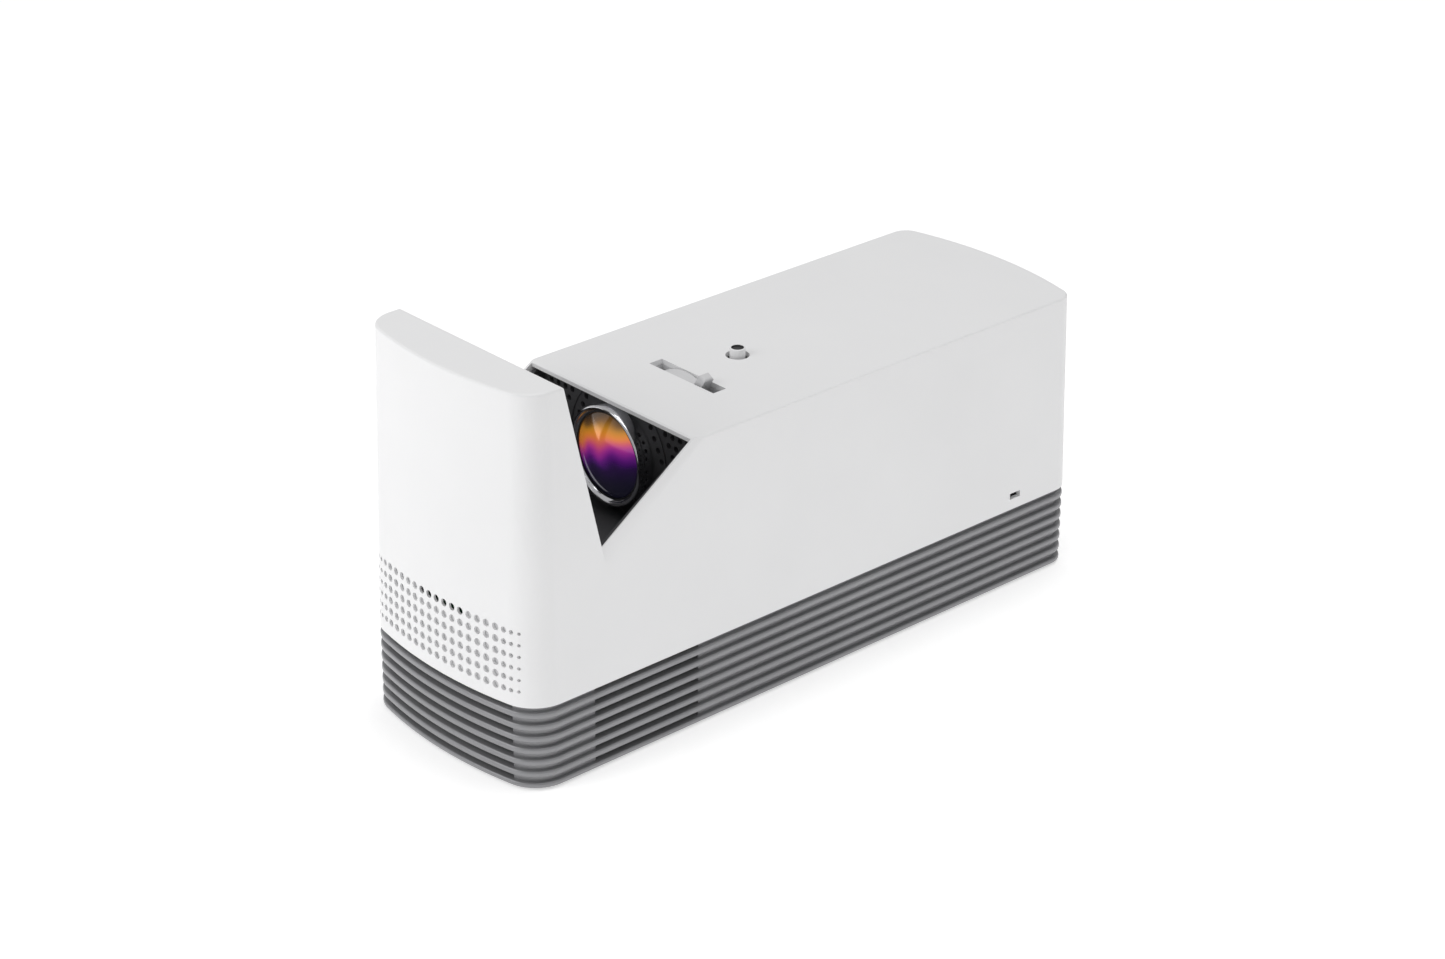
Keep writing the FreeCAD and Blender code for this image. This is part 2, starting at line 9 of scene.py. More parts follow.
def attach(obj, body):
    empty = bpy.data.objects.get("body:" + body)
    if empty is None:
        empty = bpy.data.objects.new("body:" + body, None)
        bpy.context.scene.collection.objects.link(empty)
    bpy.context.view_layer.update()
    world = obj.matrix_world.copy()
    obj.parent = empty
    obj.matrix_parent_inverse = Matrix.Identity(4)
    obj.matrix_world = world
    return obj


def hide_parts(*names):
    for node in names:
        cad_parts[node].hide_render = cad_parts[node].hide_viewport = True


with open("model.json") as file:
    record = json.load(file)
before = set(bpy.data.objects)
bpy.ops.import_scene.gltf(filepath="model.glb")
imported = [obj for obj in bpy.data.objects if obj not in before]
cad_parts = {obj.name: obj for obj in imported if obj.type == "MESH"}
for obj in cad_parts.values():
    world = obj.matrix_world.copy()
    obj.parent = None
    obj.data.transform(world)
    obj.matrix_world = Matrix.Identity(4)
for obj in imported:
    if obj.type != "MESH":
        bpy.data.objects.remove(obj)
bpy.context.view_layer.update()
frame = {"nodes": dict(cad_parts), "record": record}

mm = 0.001
nodes = frame["nodes"]
record = frame["record"]
print("frame loaded:", len(nodes), "nodes")


def meshFrom(name, verts, faces, body, slot, smooth=True):
    mesh = bpy.data.meshes.new(name)
    mesh.from_pydata(np.asarray(verts, float).reshape(-1, 3).tolist(), [], faces)
    work = bmesh.new()
    work.from_mesh(mesh)
    bmesh.ops.remove_doubles(work, verts=work.verts, dist=1e-7)  # closes seams and poles
    bmesh.ops.recalc_face_normals(work, faces=work.faces)
    work.to_mesh(mesh)
    work.free()
    if smooth:
        mesh.shade_smooth()
    else:
        mesh.shade_flat()
    piece = bpy.data.objects.new(name, mesh)
    bpy.context.scene.collection.objects.link(piece)
    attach(piece, body)
    return piece


def gridFaces(rows, columns, start=0, wrapRows=False, wrapColumns=False):
    # quads of a rows by columns grid of points, stored row by row, wrapped round where asked
    r = np.arange(rows if wrapRows else rows - 1)
    c = np.arange(columns if wrapColumns else columns - 1)
    a, b = np.meshgrid(r, c, indexing="ij")
    a2, b2 = (a + 1) % rows, (b + 1) % columns
    quads = np.stack([a * columns + b, a * columns + b2, a2 * columns + b2, a2 * columns + b], -1)
    return (quads.reshape(-1, 4) + start).tolist()


def turned(profile, centre, along, segments):
    # a profile of (radius, height) points turned about an axis: each point runs round a circle of its radius
    radius, height = np.asarray(profile, float).T
    angle = np.linspace(0, 2 * np.pi, segments, endpoint=False)
    across, up = np.outer(radius, np.cos(angle)), np.outer(radius, np.sin(angle))
    level = np.repeat(height[:, None], segments, 1)
    if along == "y":
        parts = (across + centre[0], level, up + centre[2])
    else:
        parts = (across + centre[0], up + centre[1], level)
    return np.stack(parts, -1) * mm


def turnedPiece(name, profile, centre, along, body, slot, closed, segments=96):
    points = turned(profile, centre, along, segments)
    faces = gridFaces(len(profile), segments, wrapRows=closed, wrapColumns=True)
    return meshFrom(name, points, faces, body, slot)


def sphereProfile(radius, bulge, y, way, rows):
    # half outline of a shallow dome: height falls off as bulge minus the root of bulge squared less r squared
    r = np.linspace(0, radius, rows)
    return np.stack([r, y + way * (bulge - np.sqrt(bulge ** 2 - r ** 2))], 1)


# plan outline of the case, in millimetres: half width and length, bows, corner radii, points along each
case = {
    "half": 59.0, "reach": 176.5, "frontBow": 7.8, "frontCorner": 18.0, "rearBow": 8.3, "rearCorner": 11.4,
    "bowSteps": 26, "cornerSteps": 16,
}

# silver ribs: joint height, spacing, gaps and depths; the window is where the side has no backing
louvre = {
    "top": 41.65, "pitch": 5.85, "gap": 2.9, "count": 7, "depth": 4.2, "nose": 0.7, "noseSteps": 9,
    "groove": 2.4, "bottom": 1.2, "plate": 3.6, "windowFront": -133.5, "windowRear": -72.7,
}


def halfOutline(inset):
    # right half of the plan outline from the front middle to the rear middle, for a column of insets:
    # a bow is a circle about a centre on the middle line, a corner a circle tangent to the bow and the side
    inset = np.asarray(inset, float).reshape(-1, 1)
    xs, ys = [], []
    front = (case["frontBow"], case["frontCorner"], -1)
    rear = (case["rearBow"], case["rearCorner"], 1)
    for bow, corner, way in (front, rear):
        big = (case["half"] ** 2 + bow ** 2) / (2 * bow)
        cornerX = case["half"] - corner
        back = math.sqrt((big - corner) ** 2 - cornerX ** 2)
        middleY = way * (case["reach"] - big)
        turn = math.atan2(cornerX, back)
        bowAngle = np.linspace(0, turn, case["bowSteps"])[None, :]
        cornerAngle = np.linspace(turn, np.pi / 2, case["cornerSteps"])[None, 1:]
        x = np.hstack([(big - inset) * np.sin(bowAngle), cornerX + (corner - inset) * np.sin(cornerAngle)])
        y = np.hstack([middleY + way * (big - inset) * np.cos(bowAngle),
                       middleY + way * back + way * (corner - inset) * np.cos(cornerAngle)])
        if way < 0:
            xs.append(x)
            ys.append(y)
            side = np.array([[louvre["windowFront"], louvre["windowRear"], 0.0, 80.0]])
            xs.append(np.repeat(case["half"] - inset, side.shape[1], 1))
            ys.append(np.repeat(side, len(inset), 0))
        else:
            xs.append(x[:, ::-1])
            ys.append(y[:, ::-1])
    return np.hstack(xs), np.hstack(ys)


def fullOutline(inset):
    # the right half, then the left half the other way round without its two end points
    x, y = halfOutline(inset)
    return np.hstack([x, -x[:, -2:0:-1]]), np.hstack([y, y[:, -2:0:-1]])


def carried(profile, first=None, last=None, mirror=False):
    # a closed profile of (inset, height) carried along the outline, all round or between two of its points
    inset, height = np.asarray(profile, float).T
    if first is None:
        x, y = fullOutline(inset)
    else:
        x, y = (a[:, first:last + 1] for a in halfOutline(inset))
        x = -x if mirror else x
    points = np.stack([x, y, np.repeat(height[:, None], x.shape[1], 1)], -1) * mm
    faces = gridFaces(*x.shape, wrapRows=True, wrapColumns=first is None)
    if first is not None:
        ends = np.arange(len(inset)) * x.shape[1]
        faces += [ends.tolist(), (ends + x.shape[1] - 1)[::-1].tolist()]
    return points.reshape(-1, 3), faces


def joined(parts):
    verts, faces, start = [], [], 0
    for points, quads in parts:
        verts.append(points)
        faces += [[i + start for i in face] for face in quads]
        start += len(points)
    return np.vstack(verts), faces


def ribProfile(low, high, deep, nose):
    # square at the back, and half an ellipse as tall as the rib at the front
    t = np.linspace(-np.pi / 2, np.pi / 2, louvre["noseSteps"])
    mid, half = (low + high) / 2, (high - low) / 2
    front = np.stack([nose - nose * np.cos(t), mid + half * np.sin(t)], 1)
    return np.vstack([[deep, low], front, [deep, high]])


def makeLouvres():
    parts = []
    for k in range(louvre["count"] - 1):
        high = louvre["top"] - k * louvre["pitch"] - louvre["gap"]
        low = louvre["top"] - (k + 1) * louvre["pitch"]
        parts.append(carried(ribProfile(low, high, louvre["depth"], louvre["nose"])))
    rimTop = louvre["top"] - (louvre["count"] - 1) * louvre["pitch"] - louvre["gap"]
    parts.append(carried(ribProfile(louvre["bottom"], rimTop, louvre["depth"], louvre["nose"])))
    ribs = meshFrom("louvreRibs", *joined(parts), "housing", "silver_louvre")
    ribs.data.set_sharp_from_angle(angle=math.radians(50))

    total = halfOutline([0.0])[0].shape[1]
    bowEnd = case["bowSteps"] - 1
    sideStart = bowEnd + case["cornerSteps"]
    rearCorner = total - case["bowSteps"]
    wall = [[louvre["groove"], rimTop - 0.5], [louvre["groove"], louvre["top"]],
            [louvre["depth"] - 0.1, louvre["top"]], [louvre["depth"] - 0.1, rimTop - 0.5]]
    runs = [carried(wall, first, last, mirror) for mirror in (False, True)
            for first, last in ((bowEnd, sideStart), (sideStart + 1, rearCorner))]
    backs = meshFrom("louvreBacks", *joined(runs), "housing", "silver_louvre", smooth=False)

    # base plate: straight lines from the right half of the outline to the left half, at two heights
    x, y = halfOutline([louvre["depth"] - 0.5])
    across = np.linspace(1, -1, 5)[:, None]
    layers = [np.stack([across * x, np.repeat(y, 5, 0), np.full((5, x.shape[1]), z)], -1).reshape(-1, 3) * mm
              for z in (louvre["bottom"] + 0.3, louvre["plate"])]
    columns = x.shape[1]
    faces = gridFaces(5, columns) + gridFaces(5, columns, 5 * columns)
    for row in (0, 4):
        lower = np.arange(columns) + row * columns
        quads = np.stack([lower[:-1], lower[1:], lower[1:] + 5 * columns, lower[:-1] + 5 * columns], 1)
        faces += quads.tolist()
    plate = meshFrom("basePlate", np.vstack(layers), faces, "housing", "silver_louvre", smooth=False)
    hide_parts("lower_housing")
    return ribs, backs, plate


def smoothCopy(node, name, body, angle=24):
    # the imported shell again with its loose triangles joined, so that its bows and corners shade evenly
    mesh = nodes[node].data.copy()
    mesh.name = name
    mesh.materials.clear()
    work = bmesh.new()
    work.from_mesh(mesh)
    bmesh.ops.remove_doubles(work, verts=work.verts, dist=2e-6)
    work.to_mesh(mesh)
    work.free()
    for layer in [a.name for a in mesh.attributes if a.name == "custom_normal"]:
        mesh.attributes.remove(mesh.attributes[layer])
    mesh.shade_smooth()
    mesh.set_sharp_from_angle(angle=math.radians(angle))
    piece = bpy.data.objects.new(name, mesh)
    bpy.context.scene.collection.objects.link(piece)
    weigh = piece.modifiers.new("evenNormals", "WEIGHTED_NORMAL")
    weigh.keep_sharp = True
    weigh.weight = 100
    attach(piece, body)
    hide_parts(node)
    return piece


lens = {
    "x": 0.0, "z": 115.0, "wall": -70.5, "proud": 10.8, "thick": 11.0, "glassRadius": 20.3,
    "frontBulge": 45.0, "backBulge": 200.0, "segments": 144,
}
ringShape = {"outer": 23.8, "inner": 20.55, "lip": 8.4, "lipRound": 0.9, "skirt": 0.2, "barrel": 22.1}
innerGlass = {"y": -60.5, "radius": 18.7, "bulge": 34.0, "backBulge": 60.0, "thick": 9.0, "rows": 40}
trapShape = {"crest": 20.1, "valley": 19.55, "outer": 20.25, "front": -64.9, "fall": 0.42, "pitch": 0.85,
             "lead": 0.3, "count": 5}


def makeLens():
    at = (lens["x"], 0.0, lens["z"])
    pole = lens["wall"] - lens["proud"]
    front = sphereProfile(lens["glassRadius"], lens["frontBulge"], pole, 1, 36)
    back = sphereProfile(lens["glassRadius"], lens["backBulge"], pole + lens["thick"], -1, 12)
    dome = turnedPiece("lensDome", np.vstack([front, back[::-1]]), at, "y", "housing", "lens_glass",
                       False, lens["segments"])
    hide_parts("front_element")

    g = innerGlass
    inner = sphereProfile(g["radius"], g["bulge"], g["y"], 1, g["rows"])
    rear = sphereProfile(g["radius"], g["backBulge"], g["y"] + g["thick"], -1, 12)
    second = turnedPiece("coatedElement", np.vstack([inner, rear[::-1]]), at, "y", "housing", "lens_glass",
                         False, lens["segments"])
    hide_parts("second_element")

    r = ringShape
    start = lens["wall"] - r["lip"]
    turn = np.linspace(0, np.pi, 7)
    bend = r["lipRound"]
    lip = np.stack([r["outer"] - bend + bend * np.cos(turn), start + bend - bend * np.sin(turn)], 1)
    shape = np.vstack([[r["outer"], lens["wall"] - r["skirt"]], lip,
                       [r["inner"] + bend, start + 1.5], [r["inner"], start + 2.3],
                       [r["inner"] + 0.1, start + 2.4], [r["barrel"], start + 2.5],
                       [r["barrel"], lens["wall"] - r["skirt"]]])
    ring = turnedPiece("lensRing", shape, at, "y", "housing", "lens_ring", True, lens["segments"])
    ring.data.set_sharp_from_angle(angle=math.radians(35))
    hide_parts("lens_front_ring")

    # stepped light traps inside the barrel: a saw-tooth profile whose radius falls one step at a time
    t = trapShape
    steps = np.arange(t["count"])
    fall, along = t["fall"] * steps, t["front"] + t["pitch"] * steps
    crest = np.stack([t["crest"] - fall, along], 1)
    valley = np.stack([t["valley"] - fall, along + t["lead"]], 1)
    saw = np.stack([crest, valley], 1).reshape(-1, 2)
    outer = np.array([[t["outer"], saw[-1, 1] + 0.4], [t["outer"], saw[0, 1] - 0.2]])
    traps = turnedPiece("lightTraps", np.vstack([saw, outer]), at, "y", "housing", "black_plastic", True)
    traps.data.set_sharp_from_angle(angle=math.radians(30))
    return dome, second, ring, traps


mirrorShape = {
    "half": 45.0, "tall": 34.0, "thick": 8.0, "bowl": 170.0, "dip": 5.4, "shift": -14.0,
    "y": -144.5, "z": 146.0, "lean": 12.42, "cells": 64,
}


def makeMirror():
    # shallow bowl: depth at a point is the sphere's sag about its shifted centre, never above the flat rim
    m = mirrorShape
    wide = np.linspace(-m["half"], m["half"], m["cells"])
    high = np.linspace(-m["tall"], m["tall"], m["cells"])
    u, v = np.meshgrid(wide, high, indexing="ij")
    away = np.sqrt(np.maximum(m["bowl"] ** 2 - u ** 2 - (v - m["shift"]) ** 2, 0))
    depth = np.minimum(m["bowl"] - m["dip"] - away, 0.0)
    lean = math.radians(m["lean"])
    layers = []
    for face in (depth, np.full_like(depth, -m["thick"])):
        y = face * math.cos(lean) - v * math.sin(lean) + m["y"]
        z = face * math.sin(lean) + v * math.cos(lean) + m["z"]
        layers.append(np.stack([u, y, z], -1).reshape(-1, 3) * mm)
    n = m["cells"]
    faces = gridFaces(n, n) + gridFaces(n, n, n * n)
    edge = np.concatenate([np.arange(n), np.arange(2 * n - 1, n * n, n),
                           np.arange(n * n - 2, n * n - n - 1, -1), np.arange(n * n - 2 * n, 0, -n)])
    onward = np.roll(edge, -1)
    faces += np.stack([edge, onward, onward + n * n, edge + n * n], 1).tolist()
    piece = meshFrom("bowlMirror", np.vstack(layers), faces, "housing", "mirror_glass")
    piece.data.set_sharp_from_angle(angle=math.radians(30))
    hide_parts("mirror")
    return piece


knob = {
    "x": 2.5, "y": -0.4, "bottom": 137.4, "top": 146.3, "radius": 3.7,
    "rim": 0.75, "dish": 0.7, "round": 0.55, "bore": 1.97, "boreDepth": 3.0,
}


def makeKnob():
    # knob turned about Z: straight side, quarter-round shoulder, flat rim and a shallow dish
    k = knob
    turn = np.linspace(0, np.pi / 2, 6)
    shoulder = np.stack([k["radius"] - k["round"] + k["round"] * np.cos(turn),
                         k["top"] - k["round"] + k["round"] * np.sin(turn)], 1)
    inside = k["radius"] - k["rim"]
    boreTop = k["bottom"] + k["boreDepth"]
    profile = np.vstack([[0, boreTop], [k["bore"], boreTop], [k["bore"], k["bottom"]],
                         [k["radius"], k["bottom"]], shoulder, [inside + 0.1, k["top"]],
                         [inside, k["top"] - 0.1], [inside - 0.1, k["top"] - k["dish"]],
                         [0, k["top"] - k["dish"] - 0.05]])
    piece = turnedPiece("joystickKnob", profile, (k["x"], k["y"], 0), "z", "joystick_cap", "knob_white",
                        False, 64)
    piece.data.set_sharp_from_angle(angle=math.radians(40))
    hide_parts("joystick_cap")
    return piece


def newGroup(name, inputs, outputs):
    group = bpy.data.node_groups.new(name, "ShaderNodeTree")
    for label, kind, value in inputs:
        socket = group.interface.new_socket(label, in_out="INPUT", socket_type=kind)
        socket.default_value = value
    for label, kind in outputs:
        group.interface.new_socket(label, in_out="OUTPUT", socket_type=kind)
    return group, group.nodes.new("NodeGroupInput"), group.nodes.new("NodeGroupOutput")


def addNode(tree, kind, settings=None, **values):
    node = tree.nodes.new(kind)
    for key, value in (settings or {}).items():
        setattr(node, key, value)
    for key, value in values.items():
        node.inputs[key.replace("_", " ")].default_value = value
    return node


def makeGrain():
    # moulded skin: two sizes of noise give a height, and the coarse one a value that wanders about one half
    inputs = [("Scale", "NodeSocketFloat", 900.0), ("Coarse", "NodeSocketFloat", 14.0)]
    outputs = [("Height", "NodeSocketFloat"), ("Wander", "NodeSocketFloat")]
    group, given, made = newGroup("mouldedGrain", inputs, outputs)
    place = addNode(group, "ShaderNodeTexCoord")
    fine = addNode(group, "ShaderNodeTexNoise", Detail=2.0, Roughness=0.5)
    broad = addNode(group, "ShaderNodeTexNoise", Detail=3.0, Roughness=0.6)
    link = group.links.new
    link(place.outputs["Object"], fine.inputs["Vector"])
    link(place.outputs["Object"], broad.inputs["Vector"])
    link(given.outputs["Scale"], fine.inputs["Scale"])
    link(given.outputs["Coarse"], broad.inputs["Scale"])
    link(fine.outputs["Fac"], made.inputs["Height"])
    link(broad.outputs["Fac"], made.inputs["Wander"])
    return group


def makeTint():
    # a colour that drifts between two tones as the wander value goes from 0.3 to 0.7
    inputs = [("Tone", "NodeSocketColor", (0.8, 0.8, 0.8, 1)),
              ("Other", "NodeSocketColor", (0.7, 0.7, 0.7, 1)), ("Wander", "NodeSocketFloat", 0.5),
              ("Low", "NodeSocketFloat", 0.3), ("High", "NodeSocketFloat", 0.5)]
    outputs = [("Color", "NodeSocketColor"), ("Roughness", "NodeSocketFloat")]
    group, given, made = newGroup("toneDrift", inputs, outputs)
    spread = addNode(group, "ShaderNodeMapRange", From_Min=0.3, From_Max=0.7)
    mix = addNode(group, "ShaderNodeMix", {"data_type": "RGBA"})
    rough = addNode(group, "ShaderNodeMix", {"data_type": "FLOAT"})
    link = group.links.new
    link(given.outputs["Wander"], spread.inputs["Value"])
    link(spread.outputs["Result"], mix.inputs[0])
    link(given.outputs["Tone"], mix.inputs[6])
    link(given.outputs["Other"], mix.inputs[7])
    link(spread.outputs["Result"], rough.inputs[0])
    link(given.outputs["Low"], rough.inputs[2])
    link(given.outputs["High"], rough.inputs[3])
    link(mix.outputs[2], made.inputs["Color"])
    link(rough.outputs[0], made.inputs["Roughness"])
    return group


grainGroup, tintGroup = makeGrain(), makeTint()


# each finish: two tones it drifts between, roughness range, metal share, grain scale and bump
finishes = {
    "white_shell": {"tones": ((0.86, 0.86, 0.865), (0.84, 0.84, 0.846)),
        "rough": (0.36, 0.44), "grain": 1500, "bump": 0.04},
    "silver_louvre": {"tones": ((0.30, 0.30, 0.31), (0.26, 0.26, 0.27)),
        "rough": (0.28, 0.36), "metal": 0.35,
                      "grain": 1800, "bump": 0.05},
    "bay_black": {"tones": ((0.042, 0.042, 0.045), (0.055, 0.055, 0.058)),
        "rough": (0.5, 0.65), "grain": 900, "bump": 0.25},
    "black_plastic": {"tones": ((0.016, 0.016, 0.018), (0.030, 0.030, 0.032)),
        "rough": (0.32, 0.48), "grain": 1100,
                      "bump": 0.12},
    "light_grey_plastic": {"tones": ((0.66, 0.66, 0.67), (0.62, 0.62, 0.63)),
        "rough": (0.42, 0.5), "grain": 1400,
                           "bump": 0.06},
    "knob_white": {"tones": ((0.86, 0.86, 0.865), (0.82, 0.82, 0.83)),
        "rough": (0.2, 0.3), "grain": 1400, "bump": 0.03},
    "dark_window": {"tones": ((0.006, 0.006, 0.007), (0.012, 0.010, 0.012)),
        "rough": (0.06, 0.12), "grain": 600,
                    "bump": 0.01},
    "lens_ring": {"tones": ((0.80, 0.80, 0.82), (0.70, 0.70, 0.73)),
        "rough": (0.08, 0.16), "metal": 1.0, "grain": 2500,
                  "bump": 0.03},
    "mirror_glass": {"tones": ((0.93, 0.93, 0.95), (0.90, 0.91, 0.93)),
        "rough": (0.0, 0.02), "metal": 1.0, "grain": 30,
                     "bump": 0.0},
    "aluminium": {"tones": ((0.72, 0.72, 0.74), (0.60, 0.60, 0.62)),
        "rough": (0.3, 0.45), "metal": 1.0, "grain": 700,
                  "bump": 0.15},
    "steel": {"tones": ((0.60, 0.60, 0.62), (0.50, 0.50, 0.52)),
        "rough": (0.22, 0.36), "metal": 1.0, "grain": 900,
              "bump": 0.06},
    "brass": {"tones": ((0.78, 0.56, 0.22), (0.66, 0.46, 0.18)),
        "rough": (0.2, 0.34), "metal": 1.0, "grain": 900,
              "bump": 0.05},
    "phosphor": {"tones": ((0.82, 0.78, 0.16), (0.70, 0.66, 0.12)),
        "rough": (0.6, 0.8), "grain": 1200, "bump": 0.2},
    "circuit_board": {"tones": ((0.02, 0.15, 0.06), (0.05, 0.24, 0.10)),
        "rough": (0.3, 0.42), "grain": 260, "bump": 0.3},
    "cone_paper": {"tones": ((0.03, 0.03, 0.03), (0.06, 0.06, 0.06)),
        "rough": (0.75, 0.9), "grain": 800, "bump": 0.4},
    "rubber": {"tones": ((0.02, 0.02, 0.02), (0.035, 0.035, 0.035)),
        "rough": (0.7, 0.85), "grain": 1000, "bump": 0.3},
}


def makeFinish(name, f):
    material = bpy.data.materials.new(name)
    material.use_nodes = True
    tree = material.node_tree
    shader = tree.nodes["Principled BSDF"]
    grain = addNode(tree, "ShaderNodeGroup", {"node_tree": grainGroup})
    grain.inputs["Scale"].default_value = f["grain"]
    tint = addNode(tree, "ShaderNodeGroup", {"node_tree": tintGroup})
    for socket, tone in zip(("Tone", "Other"), f["tones"]):
        tint.inputs[socket].default_value = (*tone, 1)
    for socket, value in zip(("Low", "High"), f["rough"]):
        tint.inputs[socket].default_value = value
    bump = addNode(tree, "ShaderNodeBump", Strength=f["bump"], Distance=0.0002)
    link = tree.links.new
    link(grain.outputs["Wander"], tint.inputs["Wander"])
    link(grain.outputs["Height"], bump.inputs["Height"])
    link(tint.outputs["Color"], shader.inputs["Base Color"])
    link(tint.outputs["Roughness"], shader.inputs["Roughness"])
    link(bump.outputs["Normal"], shader.inputs["Normal"])
    shader.inputs["Metallic"].default_value = f.get("metal", 0.0)
    return material


def makeGlass():
    material = bpy.data.materials.new("clearGlass")
    material.use_nodes = True
    tree = material.node_tree
    shader = tree.nodes["Principled BSDF"]
    grain = addNode(tree, "ShaderNodeGroup", {"node_tree": grainGroup})
    grain.inputs["Coarse"].default_value = 60.0
    tint = addNode(tree, "ShaderNodeGroup", {"node_tree": tintGroup})
    tint.inputs["Tone"].default_value = (0.90, 0.86, 0.95, 1)
    tint.inputs["Other"].default_value = (0.97, 0.93, 0.90, 1)
    tint.inputs["Low"].default_value = 0.0
    tint.inputs["High"].default_value = 0.02
    tree.links.new(grain.outputs["Wander"], tint.inputs["Wander"])
    tree.links.new(tint.outputs["Color"], shader.inputs["Base Color"])
    tree.links.new(tint.outputs["Roughness"], shader.inputs["Roughness"])
    shader.inputs["Transmission Weight"].default_value = 1.0
    shader.inputs["IOR"].default_value = 1.45
    return material


# bands of painted reflection standing for the coating's coloured sheen, from the bottom of the lens to its
# top: place, colour
paintedReflectionBands = [
    (0.00, (0.004, 0.004, 0.010)), (0.34, (0.006, 0.005, 0.022)), (0.45, (0.10, 0.01, 0.22)),
    (0.53, (0.42, 0.03, 0.34)), (0.60, (0.72, 0.09, 0.16)), (0.68, (0.86, 0.25, 0.03)),
    (0.78, (0.62, 0.27, 0.02)), (0.86, (0.10, 0.05, 0.02)), (1.00, (0.012, 0.012, 0.012)),
]


def makePaintedReflectionGlow():
    # coated glass with a painted reflection: the coating's reflected colours are painted in as colour
    # following the height on the lens, pushed about by slow noise, and the lens glows with them
    material = bpy.data.materials.new("coatedGlassPaintedReflection")
    material.use_nodes = True
    tree = material.node_tree
    shader = tree.nodes["Principled BSDF"]
    place = addNode(tree, "ShaderNodeTexCoord")
    centre = addNode(tree, "ShaderNodeMapping", {"vector_type": "TEXTURE"})
    reach = lens["glassRadius"] * mm
    centre.inputs["Location"].default_value = (lens["x"] * mm, 0, (lens["z"] - lens["glassRadius"]) * mm)
    centre.inputs["Rotation"].default_value = (0, math.radians(-16), 0)
    centre.inputs["Scale"].default_value = (2 * reach, 2 * reach, 2 * reach)
    drift = addNode(tree, "ShaderNodeTexNoise", Scale=2.2, Detail=1.0)
    split = addNode(tree, "ShaderNodeSeparateXYZ")
    push = addNode(tree, "ShaderNodeMath", {"operation": "MULTIPLY_ADD"})
    push.inputs[1].default_value = 0.34
    shift = addNode(tree, "ShaderNodeMath", {"operation": "SUBTRACT"})
    shift.inputs[1].default_value = 0.17
    ramp = addNode(tree, "ShaderNodeValToRGB")
    ramp.color_ramp.interpolation = "B_SPLINE"
    ends = ramp.color_ramp.elements
    ends[0].position, ends[0].color = paintedReflectionBands[0][0], (*paintedReflectionBands[0][1], 1)
    ends[1].position, ends[1].color = paintedReflectionBands[-1][0], (*paintedReflectionBands[-1][1], 1)
    for position, colour in paintedReflectionBands[1:-1]:
        ramp.color_ramp.elements.new(position).color = (*colour, 1)
    link = tree.links.new
    link(place.outputs["Object"], centre.inputs["Vector"])
    link(centre.outputs["Vector"], drift.inputs["Vector"])
    link(centre.outputs["Vector"], split.inputs["Vector"])
    link(drift.outputs["Fac"], push.inputs[0])
    link(split.outputs["Z"], push.inputs[2])
    link(push.outputs[0], shift.inputs[0])
    link(shift.outputs[0], ramp.inputs["Fac"])
    link(ramp.outputs["Color"], shader.inputs["Base Color"])
    # the painted reflection colour also drives emission: painted glow on a lens that is no lamp
    link(ramp.outputs["Color"], shader.inputs["Emission Color"])
    shader.inputs["Emission Strength"].default_value = 0.55
    shader.inputs["Metallic"].default_value = 0.3
    shader.inputs["Roughness"].default_value = 0.12
    shader.inputs["Coat Weight"].default_value = 1.0
    shader.inputs["Coat Roughness"].default_value = 0.02
    return material


def dress(piece, material):
    piece.data.materials.clear()
    piece.data.materials.append(material)


materials = {name: makeFinish(name, f) for name, f in finishes.items()}
materials["lens_glass"] = makeGlass()
for part in record["subparts"]:
    node = nodes[part["node"]]
    for place in node.material_slots:
        place.material = materials[part["material_slot"]]
print("finishes on the packed nodes:", len(materials))

shell = smoothCopy("upper_housing", "housingShell", "housing")
dress(shell, materials["white_shell"])
for piece in makeLouvres():
    dress(piece, materials["silver_louvre"])
print("case done")
dome, second, ring, traps = makeLens()
# the dome takes the painted reflection bands and their glow
dress(dome, makePaintedReflectionGlow())
dress(second, materials["lens_glass"])
dress(ring, materials["lens_ring"])
dress(traps, materials["black_plastic"])
dress(makeMirror(), materials["mirror_glass"])
knobPiece = makeKnob()
dress(knobPiece, materials["knob_white"])
# the dish floor on top of the knob is given black plastic: painted shade standing in for the dark of the
# hollow top
knobPiece.data.materials.append(materials["black_plastic"])
centres = np.array([p.center for p in knobPiece.data.polygons])
offAxis = np.hypot(centres[:, 0] - knob["x"] * mm, centres[:, 1] - knob["y"] * mm)
dishFloorPaintedShade = (offAxis < (knob["radius"] - knob["rim"]) * mm) & (centres[:, 2] > (knob["top"] - 2) * mm)
knobPiece.data.polygons.foreach_set("material_index", dishFloorPaintedShade.astype(np.int32))
print("optics and knob done")

# what a user would change about the view and the studio
studio = {
    "azimuth": 47.474, "elevation": 28.553, "roll": 0.307, "distance": 1.66598, "lens": 86.975,
    "aimRight": -0.0053, "aimUp": 0.0698,
    "surround": 0.47, "floorGlow": 0.42, "floorSize": 6.0,
    "frontLight": 7.5, "topLight": 9.0, "sideLight": 0.3,
}

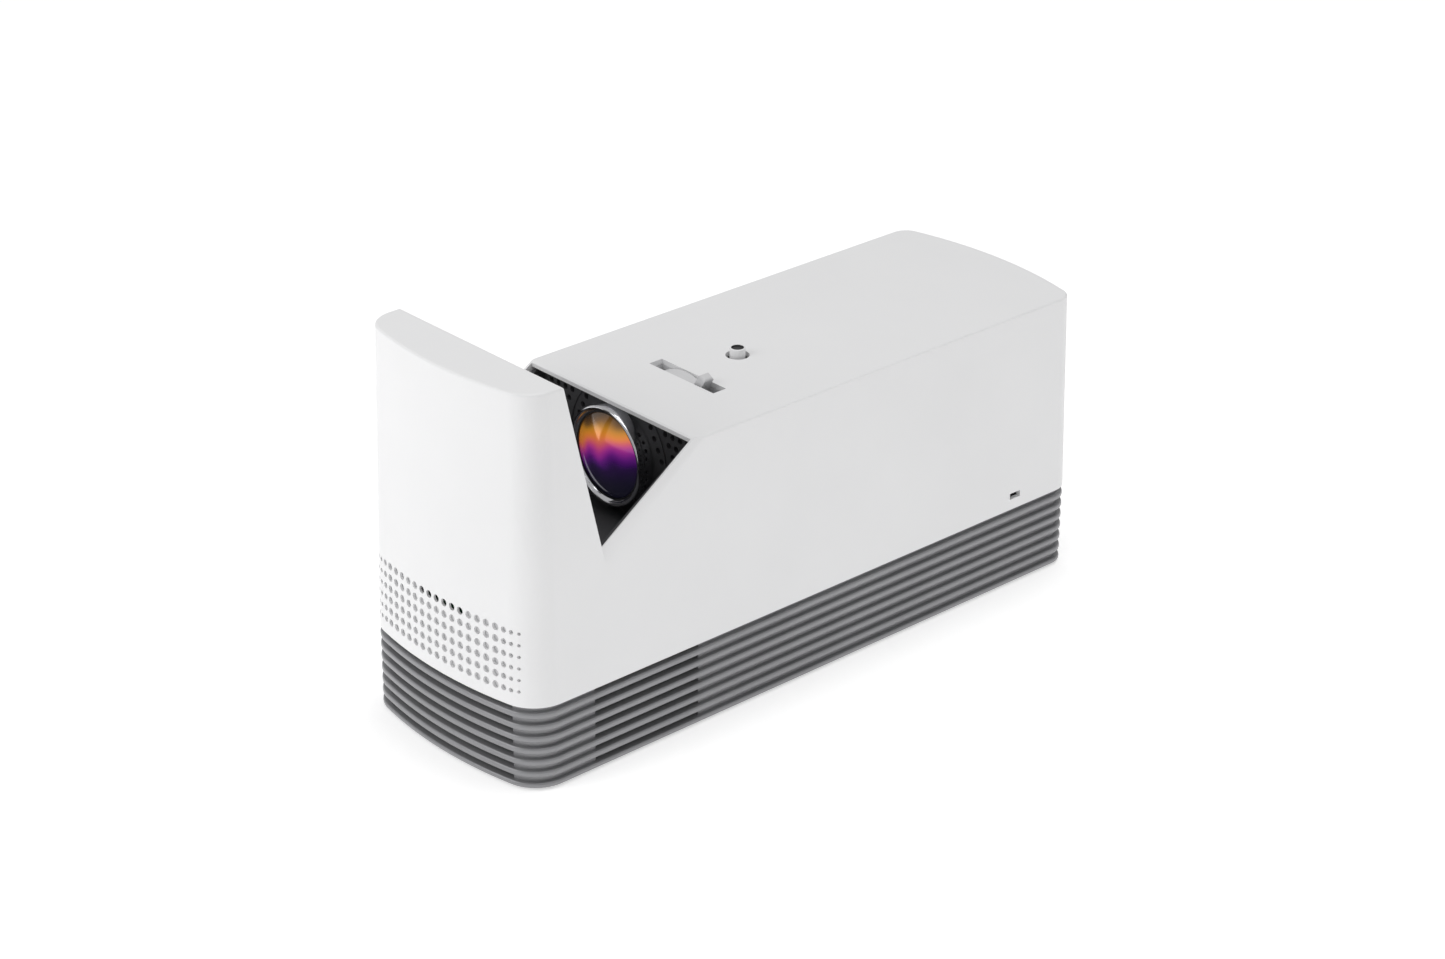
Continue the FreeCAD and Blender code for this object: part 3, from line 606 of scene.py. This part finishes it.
floorMesh = bpy.data.meshes.new("floor")
half = studio["floorSize"] / 2
corners = [(-half, -half, 0), (half, -half, 0), (half, half, 0), (-half, half, 0)]
floorMesh.from_pydata(corners, [], [(0, 1, 2, 3)])
floor = bpy.data.objects.new("floor", floorMesh)
bpy.context.scene.collection.objects.link(floor)
floorPaint = bpy.data.materials.new("paleFloor")
floorPaint.use_nodes = True
paint = floorPaint.node_tree.nodes["Principled BSDF"]
paint.inputs["Base Color"].default_value = (0.92, 0.92, 0.92, 1)
paint.inputs["Roughness"].default_value = 0.9
paint.inputs["Emission Color"].default_value = (1, 1, 1, 1)
paint.inputs["Emission Strength"].default_value = studio["floorGlow"]
floorMesh.materials.append(floorPaint)

world = bpy.data.worlds.new("studio")
bpy.context.scene.world = world
world.use_nodes = True
sky = world.node_tree
air = sky.nodes["Background"]
rays = sky.nodes.new("ShaderNodeLightPath")
bright = sky.nodes.new("ShaderNodeMapRange")
bright.inputs["To Min"].default_value = studio["surround"]
bright.inputs["To Max"].default_value = 1.0
sky.links.new(rays.outputs["Is Camera Ray"], bright.inputs["Value"])
sky.links.new(bright.outputs["Result"], air.inputs["Strength"])
air.inputs["Color"].default_value = (1, 1, 1, 1)


def softLight(name, place, size, power):
    data = bpy.data.lights.new(name, "AREA")
    data.shape, data.size, data.energy = "DISK", size, power
    lamp = bpy.data.objects.new(name, data)
    lamp.location = place
    lamp.rotation_mode = "QUATERNION"
    lamp.rotation_quaternion = (Vector((0, 0, 0.1)) - Vector(place)).to_track_quat("-Z", "Y")
    bpy.context.scene.collection.objects.link(lamp)


# name, place in metres, width, power
softLight("frontBox", (-0.5, -1.5, 0.9), 1.0, studio["frontLight"])
softLight("topBox", (0.1, 0.2, 1.7), 1.2, studio["topLight"])
softLight("sideBox", (1.6, 0.3, 0.8), 1.0, studio["sideLight"])

azimuth, elevation = math.radians(studio["azimuth"]), math.radians(studio["elevation"])
level = math.cos(elevation)
back = Vector((math.sin(azimuth) * level, -math.cos(azimuth) * level, math.sin(elevation)))
toRight = Vector((math.cos(azimuth), math.sin(azimuth), 0))
toTop = back.cross(toRight)
camera = bpy.data.objects.new("camera", bpy.data.cameras.new("camera"))
camera.data.sensor_width = 36
camera.data.lens = studio["lens"]
camera.location = back * studio["distance"]
target = toRight * studio["aimRight"] + toTop * studio["aimUp"]
facing = (target - camera.location).to_track_quat("-Z", "Y")
camera.rotation_mode = "QUATERNION"
camera.rotation_quaternion = facing @ Quaternion((0, 0, 1), math.radians(studio["roll"]))
bpy.context.scene.collection.objects.link(camera)
bpy.context.scene.camera = camera
bpy.context.scene.view_settings.view_transform = "Standard"
print("studio and camera done")
